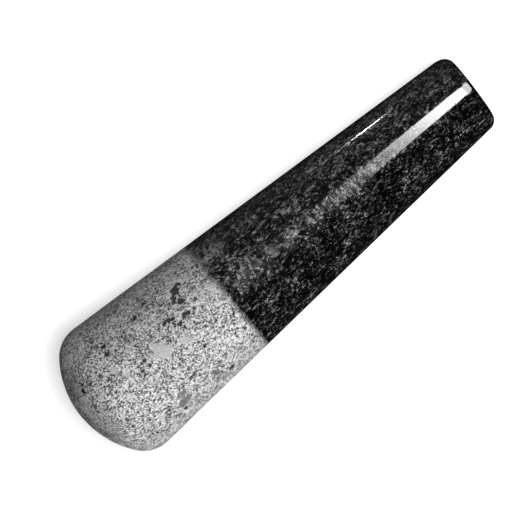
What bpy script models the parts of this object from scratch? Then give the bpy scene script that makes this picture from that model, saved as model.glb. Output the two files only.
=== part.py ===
"""Stone pestle (tejolote): one solid piece of granite, lying on its side.

It is a straight taper with a domed working head at one end and a flat, round-edged face at the
grip end. Units are metres and +Z is up. The head points to -X and the grip end to +X. The origin
is under the middle of the pestle, on the surface that it lies on.
"""
import math

import bmesh
import bpy

# Driving dimensions, measured along and around the pestle's own axis.
AXIS_LENGTH = 0.1645        # from the tip of the head to the middle of the grip end face
GRIP_END_RADIUS = 0.0137    # radius of the taper at the grip end, before its rim is rounded
TIP_TAPER_RADIUS = 0.0247   # radius that the taper would have if it ran on to the tip of the head
DOME_RADIUS = 0.0316        # the working end is a shallow dome
SHOULDER_RADIUS = 0.0114    # arc that runs from the dome into the tapered side
RIM_ROUNDING = 0.0034       # rounding around the grip end face
END_FACE_LEAN = math.radians(3.05)  # the grip end face is ground this far out of square, facing -Y

# Fineness of the solid.
SIDES = 64
DOME_STEPS = 8
SHOULDER_STEPS = 8
RIM_STEPS = 5
RIM_ANGLE_LIMIT = math.radians(40)  # rounds the rim, and leaves the edges between the sides

# The blank is turned too long by this much, and the end cutter takes it off.
BLANK_ALLOWANCE = 0.004
CUTTER_SIZE = 0.06

MERGE_DISTANCE = 0.00001
HALF_SIDE = math.pi / SIDES  # half of the angle that one side takes up around the axis


def clear_scene():
    """Remove whatever objects the file already holds."""
    for old_object in list(bpy.data.objects):
        bpy.data.objects.remove(old_object, do_unlink=True)


def new_collection(name):
    """Add a collection to the scene and return it."""
    collection = bpy.data.collections.new(name)
    bpy.context.scene.collection.children.link(collection)
    return collection


def make_granite():
    """Dark speckled granite, between the polished grip and the paler ground head."""
    material = bpy.data.materials.new("granite")
    material.use_nodes = True
    shader = material.node_tree.nodes["Principled BSDF"]
    shader.inputs["Base Color"].default_value = (0.12, 0.12, 0.12, 1.0)
    shader.inputs["Roughness"].default_value = 0.45
    shader.inputs["Metallic"].default_value = 0.0
    return material


def taper_slope():
    """How much the radius falls for each metre along the axis."""
    return (TIP_TAPER_RADIUS - GRIP_END_RADIUS) / AXIS_LENGTH


def shoulder_centre():
    """Centre of the arc that touches both the dome and the taper, as (radius, height)."""
    slope = taper_slope()
    steepness = 1 + slope ** 2
    # The centre is SHOULDER_RADIUS inside the taper, on a line parallel to it.
    inner_line = TIP_TAPER_RADIUS - SHOULDER_RADIUS * math.sqrt(steepness)
    # It is DOME_RADIUS - SHOULDER_RADIUS from the dome's centre, which gives a quadratic in height.
    half_b = DOME_RADIUS + inner_line * slope
    c = DOME_RADIUS ** 2 + inner_line ** 2 - (DOME_RADIUS - SHOULDER_RADIUS) ** 2
    height = (half_b - math.sqrt(half_b ** 2 - steepness * c)) / steepness
    return inner_line - slope * height, height


def arc_points(centre, radius, start, end, steps):
    """Points on an arc, at angles that count up from straight down."""
    points = []
    for step in range(steps + 1):
        angle = start + (end - start) * step / steps
        across = centre[0] + radius * math.sin(angle)
        height = centre[1] - radius * math.cos(angle)
        points.append((across, height))
    return points


def pestle_profile():
    """Half outline as (radius, height), from the top of the blank down to the tip of the head."""
    slope = taper_slope()
    across, height = shoulder_centre()
    dome_edge = math.atan2(across, DOME_RADIUS - height)
    taper_angle = math.pi / 2 + math.atan(slope)
    blank_top = AXIS_LENGTH + BLANK_ALLOWANCE
    blank_radius = TIP_TAPER_RADIUS - slope * blank_top

    outline = [(0.0, blank_top), (blank_radius, blank_top)]
    outline += arc_points((across, height), SHOULDER_RADIUS, taper_angle, dome_edge, SHOULDER_STEPS)
    # The dome's first point is the shoulder's last, and its last is on the axis.
    outline += arc_points((0.0, DOME_RADIUS), DOME_RADIUS, dome_edge, 0.0, DOME_STEPS)[1:-1]
    outline.append((0.0, 0.0))
    return outline


def make_lying_axis(collection):
    """Empty whose +Z is the pestle's axis, tipped so that the taper's lowest side lies flat."""
    lying_axis = bpy.data.objects.new("lying_axis", None)
    collection.objects.link(lying_axis)
    droop = math.atan(taper_slope() * math.cos(HALF_SIDE))
    lying_axis.rotation_euler = (0.0, math.pi / 2 + droop, 0.0)
    return lying_axis


def make_end_cutter(collection, lying_axis):
    """Block that cuts the grip end face, a little out of square."""
    mesh = bpy.data.meshes.new("end_cutter")
    cube = bmesh.new()
    bmesh.ops.create_cube(cube, size=CUTTER_SIZE)
    cube.to_mesh(mesh)
    cube.free()
    cutter = bpy.data.objects.new("end_cutter", mesh)
    collection.objects.link(cutter)
    cutter.parent = lying_axis
    cutter.rotation_euler = (END_FACE_LEAN, 0.0, 0.0)
    half_size = CUTTER_SIZE / 2
    cutter.location.y = -half_size * math.sin(END_FACE_LEAN)
    cutter.location.z = AXIS_LENGTH + half_size * math.cos(END_FACE_LEAN)
    cutter.hide_render = True
    cutter.display_type = "WIRE"
    return cutter


def make_pestle(collection, lying_axis, cutter, material):
    """Turn the outline into a solid, cut its end face and round the rim."""
    outline = pestle_profile()
    points = [(radius, 0.0, height) for radius, height in outline]
    edges = [(index, index + 1) for index in range(len(points) - 1)]
    mesh = bpy.data.meshes.new("pestle")
    mesh.from_pydata(points, edges, [])
    mesh.materials.append(material)
    pestle = bpy.data.objects.new("pestle", mesh)
    collection.objects.link(pestle)
    pestle.parent = lying_axis
    # Half a side's turn puts the middle of a side underneath, where the pestle rests.
    pestle.rotation_euler.z = HALF_SIDE

    turn = pestle.modifiers.new("turn", "SCREW")
    turn.angle = 2 * math.pi
    turn.steps = SIDES
    turn.render_steps = SIDES
    turn.use_merge_vertices = True
    turn.merge_threshold = MERGE_DISTANCE
    turn.use_smooth_shade = True

    cut = pestle.modifiers.new("cut_end", "BOOLEAN")
    cut.operation = "DIFFERENCE"
    cut.solver = "EXACT"
    cut.object = cutter

    rim = pestle.modifiers.new("round_rim", "BEVEL")
    rim.width = RIM_ROUNDING
    rim.segments = RIM_STEPS
    rim.limit_method = "ANGLE"
    rim.angle_limit = RIM_ANGLE_LIMIT
    return pestle


def centre_on_origin(lying_axis, pestle):
    """Move the pestle so that the origin is under the middle of its box, level with its lowest point."""
    bpy.context.view_layer.update()
    finished = pestle.evaluated_get(bpy.context.evaluated_depsgraph_get())
    points = [finished.matrix_world @ vertex.co for vertex in finished.data.vertices]
    for axis in (0, 1):
        places = [point[axis] for point in points]
        lying_axis.location[axis] -= (min(places) + max(places)) / 2
    lying_axis.location.z -= min(point.z for point in points)
    bpy.context.view_layer.update()


def main():
    clear_scene()
    parts = new_collection("granite_pestle")
    cutters = new_collection("cutters")
    lying_axis = make_lying_axis(parts)
    cutter = make_end_cutter(cutters, lying_axis)
    pestle = make_pestle(parts, lying_axis, cutter, make_granite())
    centre_on_origin(lying_axis, pestle)


main()
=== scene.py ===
"""Looks of the stone pestle: its ground head and polished grip, the table, lights and camera.

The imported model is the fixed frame. One detailed mesh stands for its single node: the same turned
shape with the real surface on it. The head points to -X, the grip end to +X and +Z is up. Lengths
are in metres, and in the granite's material they are in millimetres.
"""
import math

import bmesh
import bpy
from mathutils import Matrix, Vector, noise


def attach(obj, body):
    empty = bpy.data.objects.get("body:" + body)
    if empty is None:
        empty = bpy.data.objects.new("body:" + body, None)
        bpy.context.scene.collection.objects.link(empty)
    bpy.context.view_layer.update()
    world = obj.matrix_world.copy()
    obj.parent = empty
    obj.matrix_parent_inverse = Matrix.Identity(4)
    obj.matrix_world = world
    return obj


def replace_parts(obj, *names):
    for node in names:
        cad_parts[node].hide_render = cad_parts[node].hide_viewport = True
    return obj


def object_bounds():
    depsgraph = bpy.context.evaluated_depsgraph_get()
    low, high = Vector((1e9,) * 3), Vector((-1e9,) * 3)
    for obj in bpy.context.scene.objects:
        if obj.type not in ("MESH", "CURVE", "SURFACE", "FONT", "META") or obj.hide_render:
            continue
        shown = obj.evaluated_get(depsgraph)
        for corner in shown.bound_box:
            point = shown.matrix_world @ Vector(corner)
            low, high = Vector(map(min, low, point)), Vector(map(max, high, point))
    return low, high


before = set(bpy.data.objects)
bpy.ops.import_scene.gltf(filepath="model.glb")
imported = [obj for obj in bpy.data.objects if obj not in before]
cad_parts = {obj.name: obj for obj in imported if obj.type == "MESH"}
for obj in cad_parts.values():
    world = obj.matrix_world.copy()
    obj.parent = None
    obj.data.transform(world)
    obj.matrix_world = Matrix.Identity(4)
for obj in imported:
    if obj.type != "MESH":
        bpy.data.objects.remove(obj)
CAD_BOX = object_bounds()

# ---------------------------------------------------------------- shape of the pestle
# The same driving dimensions as the CAD part has.
AXIS_LENGTH = 0.1645
GRIP_END_RADIUS = 0.0137
TIP_TAPER_RADIUS = 0.0247
DOME_RADIUS = 0.0316
SHOULDER_RADIUS = 0.0114
RIM_ROUNDING = 0.0034
END_FACE_LEAN = math.radians(3.05)

HEAD_LENGTH = 0.0603       # the ground head ends here, measured from its tip
END_FACE_BULGE = 0.0003    # the end face is very slightly domed
RIM_WEAR = 0.00045         # most that the rim has lost, on its +Y side
LEAN_BLEND = 0.030         # the lean of the end face fades out over this length of the grip

SLOPE = (TIP_TAPER_RADIUS - GRIP_END_RADIUS) / AXIS_LENGTH
DROOP = math.atan(SLOPE)   # lying on its side, the pestle's axis drops by this angle towards +X

# Fineness of the detailed mesh.
AROUND = 320
FINE_STEP = 0.00045        # between rows on the head, where the surface is rough
GRIP_STEP = 0.0016         # between rows on the grip, which is straight and smooth
FACE_STEP = 0.0009         # between rows on the end face
FINE_PAST_HEAD = 0.004     # the fine rows go on this far past the head's end
FEWEST_POINTS = 10         # a ring this small or smaller is not halved again
SHORTEST_EDGE = 0.0002     # a ring has half as many points when its edges would fall under this

ALONG = Vector((math.cos(DROOP), 0.0, -math.sin(DROOP)))  # from the head to the grip end
ACROSS = Vector((0.0, 1.0, 0.0))
UPWARD = Vector((math.sin(DROOP), 0.0, math.cos(DROOP)))  # square to the axis
TIP = Vector((CAD_BOX[0].x + DOME_RADIUS * (1 - math.cos(DROOP)), 0.0,
              TIP_TAPER_RADIUS * math.cos(DROOP)))

# Chips in the head, as (distance from the tip, turn from the top towards +Y, radius).
CHIPS = (
    (0.0502, 36, 0.0015),
    (0.0493, 32, 0.0014),
    (0.0478, 29, 0.0012),
    (0.0490, 23, 0.0015),
    (0.0468, 26, 0.0009),
    (0.0515, 37, 0.0011),
    (0.0484, 36, 0.0008),
    (0.0404, 16, 0.0010),
    (0.0418, 16, 0.0011),
    (0.0431, 14, 0.0010),
    (0.0441, 7, 0.0010),
    (0.0445, 2, 0.0008),
    (0.0468, 11, 0.0008),
    (0.0484, 10, 0.0008),
    (0.0505, 10, 0.0007),
    (0.0338, 37, 0.0010),
    (0.0390, 44, 0.0009),
    (0.0277, 3, 0.0009),
    (0.0282, -3, 0.0007),
    (0.0206, 34, 0.0010),
    (0.0198, 26, 0.0009),
    (0.0063, 19, 0.0012),
    (0.0075, 24, 0.0009),
    (0.0280, -57, 0.0009),
    (0.0474, -60, 0.0010),
    (0.0335, 122, 0.0018),
    (0.0350, 117, 0.0013),
    (0.0510, 171, 0.0015),
    (0.0220, -118, 0.0019),
    (0.0465, -96, 0.0014),
)
# Large crystals that the grinding left flush, as (distance from the tip, turn, radius).
PALE_CRYSTALS = (
    (0.0338, 2, 0.0036),
    (0.0352, -3, 0.0026),
    (0.0420, -6, 0.0023),
    (0.0180, 12, 0.0015),
    (0.0395, 105, 0.0024),
    (0.0240, -150, 0.0022),
    (0.0530, -120, 0.0017),
)
GREY_CRYSTALS = (
    (0.0299, -41, 0.0020),
    (0.0294, -48, 0.0022),
    (0.0279, -50, 0.0014),
    (0.0423, -49, 0.0015),
    (0.0105, -38, 0.0014),
    (0.0300, 150, 0.0024),
    (0.0480, -140, 0.0018),
)
# Hazy patch where the polish was rubbed, as (distance from the tip, turn), and its radius.
HAZE_PLACE = (0.0640, 47)
HAZE_RADIUS = 0.0085


def smoothstep(low, high, value):
    """0 below low, 1 above high, and a smooth rise between them."""
    share = min(max((value - low) / (high - low), 0.0), 1.0)
    return share * share * (3 - 2 * share)


def place(height, turn, radius):
    """Point at a height along the axis, a turn around it from the top, and a distance from it."""
    out = ACROSS * math.sin(turn) + UPWARD * math.cos(turn)
    return TIP + ALONG * height + out * radius


def shoulder_centre():
    """Centre of the arc that touches both the dome and the taper, as (radius, height)."""
    steepness = 1 + SLOPE ** 2
    inner_line = TIP_TAPER_RADIUS - SHOULDER_RADIUS * math.sqrt(steepness)
    half_b = DOME_RADIUS + inner_line * SLOPE
    c = DOME_RADIUS ** 2 + inner_line ** 2 - (DOME_RADIUS - SHOULDER_RADIUS) ** 2
    height = (half_b - math.sqrt(half_b ** 2 - steepness * c)) / steepness
    return inner_line - SLOPE * height, height


def arc_rows(centre, radius, start, end, spacing):
    """Rows of (radius, height) on an arc, at angles that count up from the tip's side."""
    steps = max(2, round(radius * abs(end - start) / spacing))
    rows = []
    for step in range(steps + 1):
        angle = start + (end - start) * step / steps
        rows.append((centre[0] + radius * math.sin(angle), centre[1] - radius * math.cos(angle)))
    return rows


def taper_rows(start, end, spacing):
    """Rows of (radius, height) on the straight taper."""
    steps = max(1, round((end - start) / spacing))
    heights = [start + (end - start) * step / steps for step in range(steps + 1)]
    return [(TIP_TAPER_RADIUS - SLOPE * height, height) for height in heights]


def face_rows(face_radius):
    """Rows from the edge of the end face towards its middle, slightly domed."""
    steps = round(face_radius / FACE_STEP)
    rows = []
    for step in range(1, steps):
        radius = face_radius * (1 - step / steps)
        bulge = END_FACE_BULGE * (1 - (radius / face_radius) ** 2)
        rows.append((radius, AXIS_LENGTH + bulge))
    return rows


def pestle_rows():
    """Rings of the pestle as (radius, height), from just off the tip to the end face's middle."""
    shoulder = shoulder_centre()
    dome_edge = math.atan2(shoulder[0], DOME_RADIUS - shoulder[1])
    side_angle = math.pi / 2 + DROOP
    rows = arc_rows((0.0, DOME_RADIUS), DOME_RADIUS, 0.0, dome_edge, FINE_STEP)[1:]
    rows += arc_rows(shoulder, SHOULDER_RADIUS, dome_edge, side_angle, FINE_STEP)[1:]
    fine_end = HEAD_LENGTH + FINE_PAST_HEAD
    rows += taper_rows(rows[-1][1], fine_end, FINE_STEP)[1:]
    # The rim's arc touches the taper and the end face.
    rim_height = AXIS_LENGTH - RIM_ROUNDING
    rim_radius = TIP_TAPER_RADIUS - SLOPE * rim_height - RIM_ROUNDING * math.sqrt(1 + SLOPE ** 2)
    rim = arc_rows((rim_radius, rim_height), RIM_ROUNDING, side_angle, math.pi, FINE_STEP)
    rows += taper_rows(fine_end, rim[0][1], GRIP_STEP)[1:]
    rows += rim[1:]
    rows += face_rows(rim_radius)
    return rows


def points_around(radius):
    """How many points a ring has: fewer near the axis, halved each time."""
    count = AROUND
    while count > FEWEST_POINTS and 2 * math.pi * radius / count < SHORTEST_EDGE:
        count //= 2
    return count


def leaned(radius, height, turn):
    """Height along the axis after the end face leans, longer on the +Y side."""
    share = smoothstep(AXIS_LENGTH - LEAN_BLEND, AXIS_LENGTH - RIM_ROUNDING, height)
    return height + share * math.tan(END_FACE_LEAN) * radius * math.sin(turn)


def add_ring(mesh, radius, height):
    """Add one ring of vertices."""
    count = points_around(radius)
    ring = []
    for index in range(count):
        turn = 2 * math.pi * index / count
        moved = leaned(radius, height, turn)
        ring.append(mesh.verts.new(place(moved, turn, radius - SLOPE * (moved - height))))
    return ring


def join_rings(mesh, first, second):
    """Fill between two rings, one of which may have half the points of the other."""
    fine, coarse = (first, second) if len(first) >= len(second) else (second, first)
    for index in range(len(coarse)):
        after = (index + 1) % len(coarse)
        if len(fine) == len(coarse):
            mesh.faces.new((fine[index], fine[after], coarse[after], coarse[index]))
        else:
            middle = fine[2 * index + 1]
            mesh.faces.new((fine[2 * index], middle, coarse[index]))
            mesh.faces.new((middle, fine[2 * after], coarse[after], coarse[index]))


def close_ring(mesh, ring, point):
    """Fill a ring with a fan around its middle."""
    middle = mesh.verts.new(point)
    for index, vertex in enumerate(ring):
        mesh.faces.new((vertex, ring[(index + 1) % len(ring)], middle))


def turned_mesh():
    """The smooth pestle, as a closed mesh of rings."""
    shape = bmesh.new()
    rings = [add_ring(shape, radius, height) for radius, height in pestle_rows()]
    for first, second in zip(rings, rings[1:]):
        join_rings(shape, first, second)
    close_ring(shape, rings[0], place(0.0, 0.0, 0.0))
    close_ring(shape, rings[-1], place(AXIS_LENGTH + END_FACE_BULGE, 0.0, 0.0))
    bmesh.ops.recalc_face_normals(shape, faces=shape.faces)
    mesh = bpy.data.meshes.new("pestle_stone")
    shape.to_mesh(mesh)
    shape.free()
    mesh.shade_smooth()
    return mesh


# ---------------------------------------------------------------- rough surface of the head
# Noise scales here are waves or cells of the stone for each metre.
UNEVENNESS = 0.00005       # of the whole shape at the head
UNEVENNESS_LOST = 0.8      # share of it that is polished away on the grip
UNEVENNESS_FADE = 0.025    # over this length before the head's end
UNEVENNESS_SCALE = 60
GRAIN_RELIEF = 0.00006     # of each of two sizes of grain on the ground head
GRAIN_SCALES = (430, 1150)
GRAIN_OFFSET = Vector((9, 4, 2))  # between the noises of the two sizes
FLUSH_SHARE = 0.8          # how much of that relief a large pale crystal is without
GROUND_FADE = (0.0030, 0.0006)    # the relief fades out between these distances from the head's end
PIT_DEPTH = 0.00042        # most that a chip or pit goes in
PIT_CELLS = 420
PIT_WHOLE_CELLS = 0.62     # share of the cells that have no pit
PIT_NO_DEPTH = 0.4         # a pit is as deep as its cell's chance is over this
PIT_EDGE = (0.16, 0.42)    # where a pit's side starts and ends, in cells
PIT_RAGGEDNESS = (1900, 0.6)      # noise scale, and share of the pit's size
CELL_SPREAD = 7.31         # sets the cells' centres apart, so that each has its own chance
SPOT_EDGE = 0.55           # where a spot's side starts, in shares of its radius
SPOT_RAGGEDNESS = ((900, 0.75), (2300, 0.45))  # noise scale, and share of the spot's size
# Distances from the corner of the rim: full wear up to the first, and none past the second.
RIM_WEAR_BAND = (0.0008, 0.0042)


def spot(point, height, turn, radius):
    """1 in the middle of an uneven spot on the surface, falling to 0 at its edge."""
    middle = place(height, math.radians(turn), spot_distance(height))
    ragged = 1 + sum(share * noise.noise(point * scale) for scale, share in SPOT_RAGGEDNESS)
    return 1 - smoothstep(SPOT_EDGE, 1.0, (point - middle).length / (radius * ragged))


def spot_distance(height):
    """How far the surface is from the axis at a height on the dome or on the taper."""
    taper = TIP_TAPER_RADIUS - SLOPE * height
    if height >= DOME_RADIUS:
        return taper
    return min(math.sqrt(max(DOME_RADIUS ** 2 - (DOME_RADIUS - height) ** 2, 0.0)), taper)


def small_pits(point):
    """Depth share of the small pits where grains broke out, one in a few cells of the stone."""
    distances, centres = noise.voronoi(point * PIT_CELLS)
    chance = noise.cell(centres[0] * CELL_SPREAD)
    if chance < PIT_WHOLE_CELLS:
        return 0.0
    scale, share = PIT_RAGGEDNESS
    ragged = 1 + share * noise.noise(point * scale)
    return (1 - smoothstep(*PIT_EDGE, distances[0] * ragged)) * (chance - PIT_NO_DEPTH)


def rim_wear(point, height):
    """How far the rim of the end face is worn away: most on its +Y side, and not at all on -Y."""
    beside = (point - TIP).dot(ACROSS) / GRIP_END_RADIUS
    upright = (point - TIP).dot(UPWARD) / GRIP_END_RADIUS
    inward = GRIP_END_RADIUS * (1 - math.hypot(beside, upright))
    from_corner = math.hypot(AXIS_LENGTH - height, inward)
    return RIM_WEAR * max(beside, 0.0) * (1 - smoothstep(*RIM_WEAR_BAND, from_corner))


def carve(mesh):
    """Move every vertex to the stone's real surface, and note the pits, for shade painted into
    them, and the large crystals there.
    """
    normals = [vertex.normal.copy() for vertex in mesh.vertices]
    marks = {name: mesh.attributes.new(name, "FLOAT", "POINT")
             for name in ("painted_pit_shade", "pale", "grey")}
    fade_start, fade_end = (HEAD_LENGTH - distance for distance in GROUND_FADE)
    grain_scale, grit_scale = GRAIN_SCALES
    for vertex, normal in zip(mesh.vertices, normals):
        point = vertex.co.copy()
        height = (point - TIP).dot(ALONG)
        on_grip = smoothstep(HEAD_LENGTH - UNEVENNESS_FADE, HEAD_LENGTH, height)
        unevenness = UNEVENNESS * (1 - UNEVENNESS_LOST * on_grip)
        depth = unevenness * noise.fractal(point * UNEVENNESS_SCALE, 1.0, 2.0, 2)
        depth += rim_wear(point, height)
        head = 1 - smoothstep(fade_start, fade_end, height)
        if head > 0:
            pit = max(small_pits(point), max(spot(point, *chip) for chip in CHIPS))
            pale = max(spot(point, *crystal) for crystal in PALE_CRYSTALS)
            grey = max(spot(point, *crystal) for crystal in GREY_CRYSTALS)
            grain = noise.noise(point * grain_scale)
            grit = noise.noise(point * grit_scale + GRAIN_OFFSET)
            rough = GRAIN_RELIEF * (grain + grit) * (1 - FLUSH_SHARE * pale)
            depth += head * (rough + PIT_DEPTH * pit * (1 - pale))
            # The pit mask is kept so that shade can be painted into the pits and chips.
            for name, mark in (("painted_pit_shade", pit), ("pale", pale), ("grey", grey)):
                marks[name].data[vertex.index].value = mark * head
        vertex.co = point - normal * depth


# ---------------------------------------------------------------- granite
class Nodes:
    """Short ways to add nodes to a material, a light or the world, and to wire them."""

    def __init__(self, tree):
        self.tree = tree

    def add(self, kind, settings=None, **inputs):
        """Add a node, set its properties, and wire or set its inputs by name (spaces as _)."""
        node = self.tree.nodes.new(kind)
        for name, value in (settings or {}).items():
            setattr(node, name, value)
        for name, value in inputs.items():
            self.feed(node.inputs[name.replace("_", " ")], value)
        return node

    def feed(self, socket, value):
        """Wire a socket's value to an input, or set it."""
        if isinstance(value, bpy.types.NodeSocket):
            self.tree.links.new(value, socket)
        else:
            socket.default_value = value

    def math(self, operation, first, second=0.0, third=0.0, clamp=False):
        """Result of an operation on up to three numbers."""
        node = self.tree.nodes.new("ShaderNodeMath")
        node.operation = operation
        node.use_clamp = clamp
        for socket, value in zip(node.inputs, (first, second, third)):
            self.feed(socket, value)
        return node.outputs[0]

    def vector(self, operation, first, second=None, scale=None):
        """Result of an operation on one or two vectors, or on a vector and a number."""
        node = self.tree.nodes.new("ShaderNodeVectorMath")
        node.operation = operation
        self.feed(node.inputs[0], first)
        if second is not None:
            self.feed(node.inputs[1], second)
        if scale is not None:
            self.feed(node.inputs["Scale"], scale)
        is_number = operation in ("DOT_PRODUCT", "DISTANCE")
        return node.outputs["Value" if is_number else "Vector"]

    def split(self, vector):
        """Outputs X, Y and Z of a vector."""
        return self.add("ShaderNodeSeparateXYZ", None, Vector=vector).outputs

    def rise(self, value, low, high):
        """0 at low, 1 at high, a smooth rise between, and flat beyond. Low may be the larger."""
        node = self.add("ShaderNodeMapRange", {"interpolation_type": "SMOOTHSTEP"})
        for name, amount in (("Value", value), ("From Min", low), ("From Max", high)):
            self.feed(node.inputs[name], amount)
        return node.outputs[0]

    def noise(self, place, scale, detail=2.0, roughness=0.5):
        """Soft noise, with the outputs Fac (about 0.5) and Color (three such numbers)."""
        return self.add("ShaderNodeTexNoise", None, Vector=place, Scale=scale, Detail=detail,
                        Roughness=roughness).outputs

    def grains(self, place, scale):
        """Two random numbers for each grain of the stone."""
        node = self.add("ShaderNodeTexVoronoi", None, Vector=place, Scale=scale)
        split = self.add("ShaderNodeSeparateColor", None, Color=node.outputs["Color"])
        return split.outputs[0], split.outputs[1]

    def total(self, values, shares):
        """Sum of the named values, each times its share, and of the share called base by itself."""
        result = 0.0
        for name, share in shares.items():
            if name == "base":
                result = self.math("ADD", result, share)
            else:
                result = self.math("MULTIPLY_ADD", values[name], share, result)
        return result

    def ramp(self, value, stops):
        """Colour ramp over greys, from (value, grey) stops."""
        low, high = stops[0][0], stops[-1][0]
        share = self.math("MULTIPLY_ADD", value, 1 / (high - low), -low / (high - low))
        node = self.add("ShaderNodeValToRGB", None, Fac=share)
        elements = node.color_ramp.elements
        while len(elements) < len(stops):
            elements.new(1.0)
        for element, (position, grey) in zip(elements, stops):
            element.position = (position - low) / (high - low)
            element.color = (grey, grey, grey, 1.0)
        return node.outputs["Color"]

    def blend(self, share, first, second):
        """Mix of two numbers."""
        return self.mix("FLOAT", share, first, second)

    def blend_colour(self, share, first, second):
        """Mix of two colours."""
        return self.mix("RGBA", share, first, second)

    def mix(self, data_type, share, first, second):
        """Mix node, whose sockets stand at different places for numbers and for colours."""
        node = self.tree.nodes.new("ShaderNodeMix")
        node.data_type = data_type
        before, result = {"FLOAT": (2, 0), "RGBA": (6, 2)}[data_type]
        for index, value in ((0, share), (before, first), (before + 1, second)):
            self.feed(node.inputs[index], value)
        return node.outputs[result]


# In the material, lengths are in millimetres, and scales are grains or waves for each millimetre.
MM = 1000.0                # millimetres in a metre
GRAINS = {"grit": 3.8, "tiny": 1.75, "small": 1.05, "large": 0.45}
BEND = (0.9, 2.0)          # noise that bends the grains, as (scale, detail)
BEND_REACH = 1.3           # how far that moves them at most
GRAIN_SQUEEZE = 0.25       # places are squeezed along the pestle, so the grains are longer that way
DUST = (2.4, 2.0, 0.6)     # softer changes, as (scale, detail, roughness of the noise)
FLAKE = (0.95, 3.0, 0.6)
CLOUD = (0.17, 2.0)
# Painted sheen: the polished stone's colour is painted paler towards +Y, standing in for the light
# its flakes catch on that side.
PAINTED_SHEEN_SIDE = (-6.0, 12.0)  # the stone gets paler between these places across it, towards +Y

# What each size of grain and each noise adds to a number that varies over the stone. A grain has
# two random numbers, the second of which is "other", and "base" is the same all over.
MINERAL = {"grit": 0.30, "tiny": 0.34, "small": 0.24, "large": 0.14, "flake": 0.74,
           "dust": 0.32, "cloud": 0.38, "painted_sheen_side": 0.14, "base": -0.145}
BROKEN = {"grit_other": 0.60, "tiny_other": 0.36, "small_other": 0.08, "dust": 0.50,
          "flake": 0.14, "cloud": 0.46, "base": -0.012}
RAGGED = {"tiny_other": 0.50, "grit_other": 0.40, "base": -0.45}
ROUGH_RELIEF = {"tiny_other": 0.5, "grit_other": 0.35, "dust": 0.9, "base": -0.87}
NEAR_ROUGHNESS = {"dull": 0.14, "large_other": 0.20, "base": 0.065}
FAR_ROUGHNESS = {"dull": 0.09, "base": 0.065}

# Greys of the stone, as (position on the ramp, grey).
POLISHED_GREYS = ((0.86, 0.0005), (1.04, 0.002), (1.15, 0.007),
                  (1.26, 0.032), (1.42, 0.15), (1.55, 0.40))
GROUND_GREYS = ((0.83, 0.02), (0.95, 0.12), (1.01, 0.42),
                (1.08, 0.72), (1.18, 0.90), (1.30, 1.0))
# Marks on the ground head, as (name, raggedness, where it starts and is full, strength, grey).
MARKS = (
    ("grey", 0.6, 0.30, 0.60, 0.75, 0.14),
    ("pale", 0.6, 0.30, 0.60, 0.80, 0.70),
    # Shade is painted into the pits and chips: they are made nearly black, over their real depth.
    ("painted_pit_shade", 1.0, 0.40, 0.55, 0.96, 0.006),
)

# The line between the two finishes is uneven: its noise, as (scale, detail), and how far it moves.
HEAD_END_NOISE = (0.4, 3.0)
HEAD_END_WOBBLE = 1.4
# Between these distances past the head's end, the polish starts, becomes better, and its waves end.
POLISH_STARTS = (-1.4, 1.8)
BETTER_POLISH = (10.0, 85.0)
WAVES_END = (45.0, 82.0)

HAZE_MIDDLE_SHARE = 0.25   # the hazy patch is at its strongest within this share of its radius
HAZE_FLAKES = (0.38, 0.62)  # and shows only where the flake noise is above these
HAZE_STRENGTH = 0.32
DULL_MINERAL = (1.15, 1.45)  # the palest flakes take the polish less well
GROUND_ROUGHNESS = 0.9
GRANITE_IOR = 1.55
TOP_EDGES = (10.0, 4.0)    # distances beside the middle line where the top starts and is full
WAVE_NOISE = (0.42, 2.0)
WAVES_ON_TOP = 0.22        # relief of the waves on top, near the head
WAVES_ALL_OVER = 0.003     # and what they have everywhere
SCRATCH_SQUEEZE = 0.95     # the scratches are drawn out along the pestle
SCRATCH_NOISE = (1.5, 2.0, 0.6)
SCRATCHES = (0.002, 0.011)  # relief of the scratches: on the sides, on top
BUMP_DISTANCE = 0.00045    # metres for a relief of 1


def squeezed(nodes, places, height, share):
    """Places squeezed along the pestle by a share, so that a pattern is longer that way."""
    taken = nodes.math("MULTIPLY", height, share)
    return nodes.vector("SUBTRACT", places, nodes.vector("SCALE", ALONG, scale=taken))


def stone_values(nodes, plain, height, beside):
    """Numbers that vary over the stone, by name: of its grains, its noises and its painted sheen on
    the +Y side.
    """
    bend = nodes.vector("SCALE", nodes.noise(plain, *BEND)["Color"], scale=BEND_REACH)
    # Bent a little, so that no grain has a straight side.
    bent = squeezed(nodes, nodes.vector("ADD", plain, bend), height, GRAIN_SQUEEZE)
    values = {}
    for name, scale in GRAINS.items():
        values[name], values[name + "_other"] = nodes.grains(bent, scale)
    values["dust"] = nodes.noise(plain, *DUST)["Fac"]
    values["flake"] = nodes.noise(bent, *FLAKE)["Fac"]
    values["cloud"] = nodes.noise(plain, *CLOUD)["Fac"]
    # Painted sheen, paler towards +Y.
    values["painted_sheen_side"] = nodes.rise(beside, *PAINTED_SHEEN_SIDE)
    return values


def distance_past_head(nodes, plain, height):
    """Distance past the ground head's end, which is uneven."""
    head_end = (HEAD_LENGTH + TIP.dot(ALONG)) * MM
    wobble = nodes.math("MULTIPLY_ADD", nodes.noise(plain, *HEAD_END_NOISE)["Fac"],
                        HEAD_END_WOBBLE, -HEAD_END_WOBBLE / 2)
    return nodes.math("SUBTRACT", nodes.math("ADD", height, wobble), head_end)


def polish_share(nodes, plain, past_head, flake):
    """0 on the ground head, 1 on the polished grip, and less in the hazy patch."""
    haze_height, haze_turn = HAZE_PLACE
    haze_middle = place(haze_height, math.radians(haze_turn), spot_distance(haze_height)) * MM
    radius = HAZE_RADIUS * MM
    from_haze = nodes.vector("DISTANCE", plain, haze_middle)
    haze = nodes.rise(from_haze, radius, radius * HAZE_MIDDLE_SHARE)
    haze = nodes.math("MULTIPLY", haze, nodes.rise(flake, *HAZE_FLAKES))
    return nodes.math("MULTIPLY_ADD", haze, -HAZE_STRENGTH, nodes.rise(past_head, *POLISH_STARTS))


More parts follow.
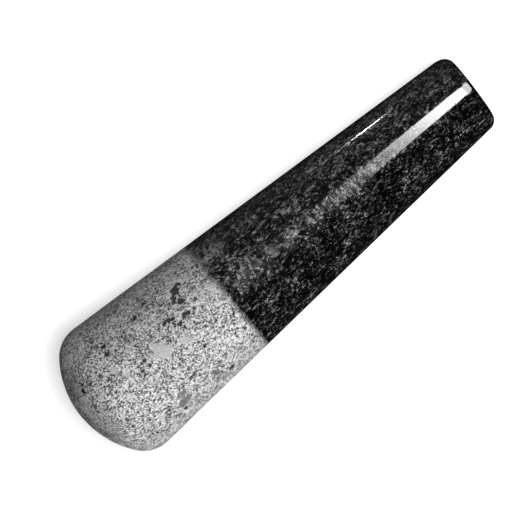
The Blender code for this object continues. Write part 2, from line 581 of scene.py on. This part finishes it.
def ground_colour(nodes, values):
    """Grains bruised to pale grey, specks where they broke out, large crystals, and shade painted
    into the pits and chips.
    """
    ground = nodes.ramp(nodes.total(values, BROKEN), GROUND_GREYS)
    # Pits and large crystals end along the edges of grains.
    ragged = nodes.total(values, RAGGED)
    for name, raggedness, start, full, strength, grey in MARKS:
        mark = nodes.add("ShaderNodeAttribute", {"attribute_name": name}).outputs["Fac"]
        mark = nodes.rise(nodes.math("MULTIPLY_ADD", ragged, raggedness, mark), start, full)
        share = nodes.math("MULTIPLY", mark, strength)
        ground = nodes.blend_colour(share, ground, (grey, grey, grey, 1))
    return ground


def polish_relief(nodes, plain, height, beside, past_head):
    """Relief of the polished grip: slow waves, most on top near the head, and fine scratches."""
    top = nodes.rise(nodes.math("ABSOLUTE", beside), *TOP_EDGES)
    wave = nodes.math("SUBTRACT", nodes.noise(plain, *WAVE_NOISE)["Fac"], 0.5)
    waves = nodes.blend(nodes.rise(past_head, *WAVES_END), WAVES_ON_TOP, 0.0)
    waves = nodes.math("MULTIPLY", top, waves)
    ripple = nodes.math("MULTIPLY", wave, nodes.math("ADD", waves, WAVES_ALL_OVER))
    drawn_out = squeezed(nodes, plain, height, SCRATCH_SQUEEZE)
    scratch = nodes.math("SUBTRACT", nodes.noise(drawn_out, *SCRATCH_NOISE)["Fac"], 0.5)
    scratch = nodes.math("MULTIPLY", scratch, nodes.blend(top, *SCRATCHES))
    return nodes.math("ADD", ripple, scratch)


def make_granite():
    """Speckled granite: pale and matt where it is ground, black and glossy where it is polished."""
    material = bpy.data.materials.new("granite")
    material.use_nodes = True
    nodes = Nodes(material.node_tree)
    shader = material.node_tree.nodes["Principled BSDF"]

    plain = nodes.vector("SCALE", nodes.add("ShaderNodeTexCoord").outputs["Object"], scale=MM)
    height = nodes.vector("DOT_PRODUCT", plain, ALONG)
    beside = nodes.vector("DOT_PRODUCT", plain, ACROSS)
    values = stone_values(nodes, plain, height, beside)
    past_head = distance_past_head(nodes, plain, height)
    polish = polish_share(nodes, plain, past_head, values["flake"])

    # The polished stone is a black ground mass with grey flakes of paler mineral, and a painted
    # sheen makes it paler towards +Y.
    mineral = nodes.total(values, MINERAL)
    polished_colour = nodes.ramp(mineral, POLISHED_GREYS)
    colour = nodes.blend_colour(polish, ground_colour(nodes, values), polished_colour)
    nodes.feed(shader.inputs["Base Color"], colour)

    # The polish is best at the grip end, and patchy near the head.
    values["dull"] = nodes.rise(mineral, *DULL_MINERAL)
    polished = nodes.blend(nodes.rise(past_head, *BETTER_POLISH),
                           nodes.total(values, NEAR_ROUGHNESS), nodes.total(values, FAR_ROUGHNESS))
    nodes.feed(shader.inputs["Roughness"], nodes.blend(polish, GROUND_ROUGHNESS, polished))
    shader.inputs["IOR"].default_value = GRANITE_IOR

    relief = nodes.blend(polish, nodes.total(values, ROUGH_RELIEF),
                         polish_relief(nodes, plain, height, beside, past_head))
    bump = nodes.add("ShaderNodeBump", None, Height=relief, Strength=1.0, Distance=BUMP_DISTANCE)
    nodes.feed(shader.inputs["Normal"], bump.outputs[0])
    return material


def make_pestle():
    """The whole stone, as one closed mesh."""
    mesh = turned_mesh()
    carve(mesh)
    pestle = bpy.data.objects.new("pestle_stone", mesh)
    bpy.context.scene.collection.objects.link(pestle)
    mesh.materials.append(make_granite())
    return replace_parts(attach(pestle, "root"), "pestle")


# ---------------------------------------------------------------- camera
# The camera looks square to the pestle's axis, which rises across the picture at this angle.
PICTURE_TURN = math.radians(40.245)
LENS = 360.0               # millimetres, on a 36 mm sensor
SENSOR = 36.0
PICTURE_WIDTH = 0.16813    # what the picture takes in, at the pestle's axis
AIM_HEIGHT = 0.0765        # the picture's middle, along the axis from the tip
AIM_ACROSS = 0.0013        # and this far beside it, towards +Y
CLIP = (0.05, 30.0)


def make_camera():
    """Long lens above the pestle, with the head at the lower left of the picture."""
    camera = bpy.data.cameras.new("camera")
    camera.lens = LENS
    camera.sensor_width = SENSOR
    camera.clip_start, camera.clip_end = CLIP
    holder = bpy.data.objects.new("camera", camera)
    bpy.context.scene.collection.objects.link(holder)
    right = ALONG * math.cos(PICTURE_TURN) - ACROSS * math.sin(PICTURE_TURN)
    up = ALONG * math.sin(PICTURE_TURN) + ACROSS * math.cos(PICTURE_TURN)
    aim = TIP + ALONG * AIM_HEIGHT + ACROSS * AIM_ACROSS
    distance = PICTURE_WIDTH * LENS / SENSOR
    turn = Matrix((right, up, UPWARD)).transposed().to_4x4()
    holder.matrix_world = Matrix.Translation(aim + UPWARD * distance) @ turn
    bpy.context.scene.camera = holder


# ---------------------------------------------------------------- studio
TABLE_HALF_SIDE = 12.0
TABLE_GREY = 0.8
# The table's own glow is painted light: weaker beyond the head, so that the shadow there reads
# deeper, and stronger beside the grip.
TABLE_GLOW = (0.465, 0.655)  # the table shines by itself: beyond the head, beside the grip
GLOW_RISES = (-0.095, -0.02)  # between these places along X
TABLE_LIGHT = 2.10         # the sun that makes the soft shadow on the table
TABLE_LIGHT_FROM = Vector((0.14, -0.13, 1.0))
TABLE_LIGHT_ANGLE = math.radians(20)

# What the world gives to the stone: a glow from above in its plain shading, and one from the +Y
# side in its polish.
SKY_GLOW = 0.14
SKY_EDGE = (-0.1, 0.1)     # along Z of the direction
POLISH_GLOW = 0.055
POLISH_GLOW_ALL_OVER = 0.008
POLISH_GLOW_SIDE = (-0.1, 0.35)   # along Y of the direction
POLISH_GLOW_ABOVE = (-1.0, -0.35)  # along Z of the direction

MIDDLE = (CAD_BOX[0] + CAD_BOX[1]) / 2
# The panel above and beyond the grip end leans by this angle. It is this far from the grip end,
# and is moved this far along itself.
END_LIGHT_TURN = math.radians(33.3)
END_LIGHT_DISTANCE = 0.453
END_LIGHT_SHIFT = 0.3925
END_WAY = Vector((math.sin(END_LIGHT_TURN), 0.0, math.cos(END_LIGHT_TURN)))
END_SIDE = Vector((math.cos(END_LIGHT_TURN), 0.0, -math.sin(END_LIGHT_TURN)))
END_CENTRE = (Vector((0.080, 0.0575, 0.027)) + END_WAY * END_LIGHT_DISTANCE
              + END_SIDE * END_LIGHT_SHIFT)

# Rectangular lights that fall on the stone only. The radiance is that of the face, shines_on says
# whether the stone shows the light in its gloss or in its plain shading, and fade is what
# fade_light takes: (dark end, bright start, power).
SOFTBOXES = (
    # Broad lights from the -Y side and from above.
    {"name": "key", "centre": MIDDLE + Vector((0.13, -0.63, 0.36)), "aim": MIDDLE,
     "size": (0.5, 0.4), "radiance": 6.9, "shines_on": "shading"},
    {"name": "top", "centre": MIDDLE + Vector((0.0, -0.12, 0.73)), "aim": MIDDLE,
     "size": (0.5, 0.4), "radiance": 4.3, "shines_on": "shading"},
    # The long highlight on the grip: faint near the head, and full near the grip end.
    {"name": "streak", "centre": Vector((0.16, 0.078, 0.52)), "aim": Vector((0.16, 0.078, 0.0)),
     "size": (0.18, 0.24), "radiance": 22.0, "shines_on": "gloss", "fade": (0.04, 0.66, 6.0)},
    # The highlight round the rim of the grip end.
    {"name": "end", "centre": END_CENTRE, "aim": END_CENTRE - END_WAY,
     "size": (1.045, 0.23), "radiance": 14.0, "shines_on": "gloss", "fade": (3.2, 0.0, 1.0)},
    # The thin highlight along the +Y side of the grip.
    {"name": "strip", "centre": Vector((0.078, 0.27, 0.004)), "aim": Vector((0.078, 0.0, 0.012)),
     "size": (0.011, 0.003), "radiance": 330.0, "shines_on": "gloss"},
    # The small bright mark on the -Y side, near the grip end.
    {"name": "glint", "centre": Vector((0.1144, -0.27, 0.0742)),
     "aim": Vector((0.0717, -0.0091, 0.0256)),
     "size": (0.0010, 0.003), "radiance": 150.0, "shines_on": "gloss"},
)


def make_table():
    """Plain white table that shines by itself, with a soft shadow from the light above."""
    material = bpy.data.materials.new("white_table")
    material.use_nodes = True
    shader = material.node_tree.nodes["Principled BSDF"]
    shader.inputs["Base Color"].default_value = (TABLE_GREY, TABLE_GREY, TABLE_GREY, 1)
    shader.inputs["Roughness"].default_value = 1.0
    shader.inputs["Specular IOR Level"].default_value = 0.0
    shader.inputs["Emission Color"].default_value = (1, 1, 1, 1)
    nodes = Nodes(material.node_tree)
    along = nodes.split(nodes.add("ShaderNodeTexCoord").outputs["Object"])["X"]
    # Painted glow, lower beyond the head than beside the grip.
    glow = nodes.blend(nodes.rise(along, *GLOW_RISES), *TABLE_GLOW)
    nodes.feed(shader.inputs["Emission Strength"], glow)
    mesh = bpy.data.meshes.new("table")
    grid = bmesh.new()
    bmesh.ops.create_grid(grid, x_segments=1, y_segments=1, size=TABLE_HALF_SIDE)
    grid.to_mesh(mesh)
    grid.free()
    mesh.materials.append(material)
    table = bpy.data.objects.new("table", mesh)
    bpy.context.scene.collection.objects.link(table)
    # The stone shows no white table in its polish and gets no light from it.
    table.visible_glossy = False
    table.visible_diffuse = False
    return table


def light_only(light, target):
    """Let a light fall on one object only."""
    group = bpy.data.collections.new(light.name + "_falls_on")
    group.objects.link(target)
    light.light_linking.receiver_collection = group


def add_softbox(name, centre, aim, size, radiance, shines_on, fade=None):
    """Rectangular light that faces aim, with its own X as near to the frame's X as it can be."""
    lamp = bpy.data.lights.new(name, "AREA")
    lamp.shape = "RECTANGLE"
    lamp.size, lamp.size_y = size
    lamp.energy = radiance * math.pi * size[0] * size[1]
    if fade:
        fade_light(lamp, *fade)
    holder = bpy.data.objects.new(name, lamp)
    bpy.context.scene.collection.objects.link(holder)
    away = (centre - aim).normalized()
    side = (Vector((1, 0, 0)) - away * away.x).normalized()
    turn = Matrix((side, away.cross(side), away)).transposed().to_4x4()
    holder.matrix_world = Matrix.Translation(centre) @ turn
    holder.visible_camera = False
    holder.visible_glossy = shines_on == "gloss"
    holder.visible_diffuse = shines_on == "shading"
    return holder


def fade_light(lamp, dark_end, bright_start, power):
    """Let a softbox fade in along its own X, between two shares of its width."""
    lamp.use_nodes = True
    nodes = Nodes(lamp.node_tree)
    along = nodes.split(nodes.add("ShaderNodeNewGeometry").outputs["Parametric"])["X"]
    width = bright_start - dark_end
    share = nodes.math("MULTIPLY_ADD", along, 1 / width, -dark_end / width, clamp=True)
    strength = lamp.node_tree.nodes["Emission"].inputs["Strength"]
    nodes.feed(strength, nodes.math("POWER", share, power))


def make_lights(pestle, table):
    """The table's own light, and the softboxes around the stone."""
    lamp = bpy.data.lights.new("table_light", "SUN")
    lamp.energy = TABLE_LIGHT
    lamp.angle = TABLE_LIGHT_ANGLE
    sun = bpy.data.objects.new("table_light", lamp)
    bpy.context.scene.collection.objects.link(sun)
    sun.rotation_euler = TABLE_LIGHT_FROM.to_track_quat("Z", "Y").to_euler()
    light_only(sun, table)
    for softbox in SOFTBOXES:
        light_only(add_softbox(**softbox), pestle)


def make_world():
    """White to the camera, a soft glow for the stone's shading, and nearly black in its polish."""
    world = bpy.data.worlds.new("studio")
    bpy.context.scene.world = world
    world.use_nodes = True
    nodes = Nodes(world.node_tree)
    background = world.node_tree.nodes["Background"]
    background.inputs["Color"].default_value = (1, 1, 1, 1)
    path = nodes.add("ShaderNodeLightPath").outputs
    direction = nodes.split(nodes.add("ShaderNodeTexCoord").outputs["Generated"])
    sky = nodes.math("MULTIPLY", nodes.rise(direction["Z"], *SKY_EDGE), SKY_GLOW)
    polish = nodes.math("MULTIPLY", nodes.rise(direction["Y"], *POLISH_GLOW_SIDE),
                        nodes.rise(direction["Z"], *POLISH_GLOW_ABOVE))
    polish = nodes.math("MULTIPLY_ADD", polish, POLISH_GLOW, POLISH_GLOW_ALL_OVER)
    glow = nodes.blend(path["Is Glossy Ray"], sky, polish)
    nodes.feed(background.inputs["Strength"], nodes.blend(path["Is Camera Ray"], glow, 1.0))


make_camera()
stone = make_pestle()
make_world()
make_lights(stone, make_table())
bpy.context.scene.view_settings.view_transform = "Standard"
